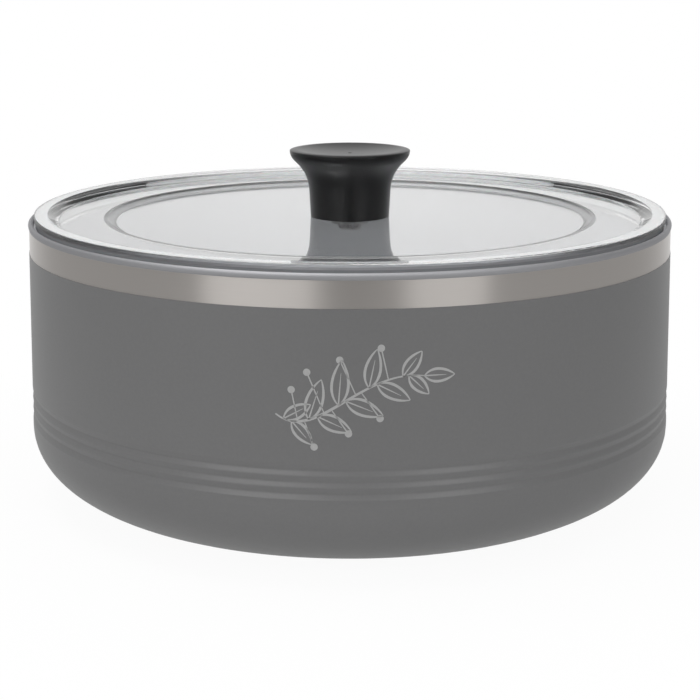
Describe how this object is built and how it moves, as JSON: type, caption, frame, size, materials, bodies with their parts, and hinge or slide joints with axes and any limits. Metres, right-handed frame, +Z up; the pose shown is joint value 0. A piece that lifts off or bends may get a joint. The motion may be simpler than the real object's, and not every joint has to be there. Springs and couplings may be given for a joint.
{
  "type": "insulated serving casserole",
  "caption": "Round insulated serving casserole with a double-wall steel bowl, powder-coated outside, and a clear lift-off lid with a flared black knob.",
  "frame": {"origin": "middle of the base, on the plane that the non-slip ring stands on", "axes": "+Z up along the axis of the bowl and the lid; the object is round, so +X and +Y are any two square directions"},
  "size_m": [0.2564, 0.2564, 0.1365],
  "materials": {
    "steel_brushed": "fine circular brushing, satin",
    "steel_plain": "mill finish, satin",
    "coat_grey": "matte fine-texture powder coat",
    "clear_plastic": "clear glossy moulded plastic",
    "silicone": "translucent white silicone",
    "knob_black": "satin black",
    "brass": "machined",
    "copper_foil": "bright copper foil",
    "getter_metal": "pressed metal powder, dull dark grey",
    "solder_glass": "dark fused glass",
    "rubber_black": "matte black silicone rubber"
  },
  "bodies": {
    "bowl": {"outer_shell": "steel_brushed", "powder_coat": "coat_grey", "inner_liner": "steel_brushed", "foil_wrap": "copper_foil", "foil_disc": "copper_foil", "getter_holder": "steel_plain", "getter_pellet": "getter_metal", "vacuum_seal": "solder_glass", "base_plate": "steel_plain", "non_slip_ring": "rubber_black"},
    "seal": {"lid_seal": "silicone"},
    "lid": {"lid_panel": "clear_plastic", "knob": "knob_black", "knob_insert": "brass", "knob_screw": "steel_plain", "steel_washer": "steel_plain", "sealing_washer": "rubber_black"}
  },
  "joints": [
    {"name": "lid_lift", "type": "slide", "parent": "bowl", "child": "seal", "axis": [0, 0, 1], "range_m": [0, 0.08]},
    {"name": "lid_turn", "type": "hinge", "parent": "seal", "child": "lid", "pos_m": [0, 0, 0.11], "axis": [0, 0, 1], "continuous": true}
  ]
}
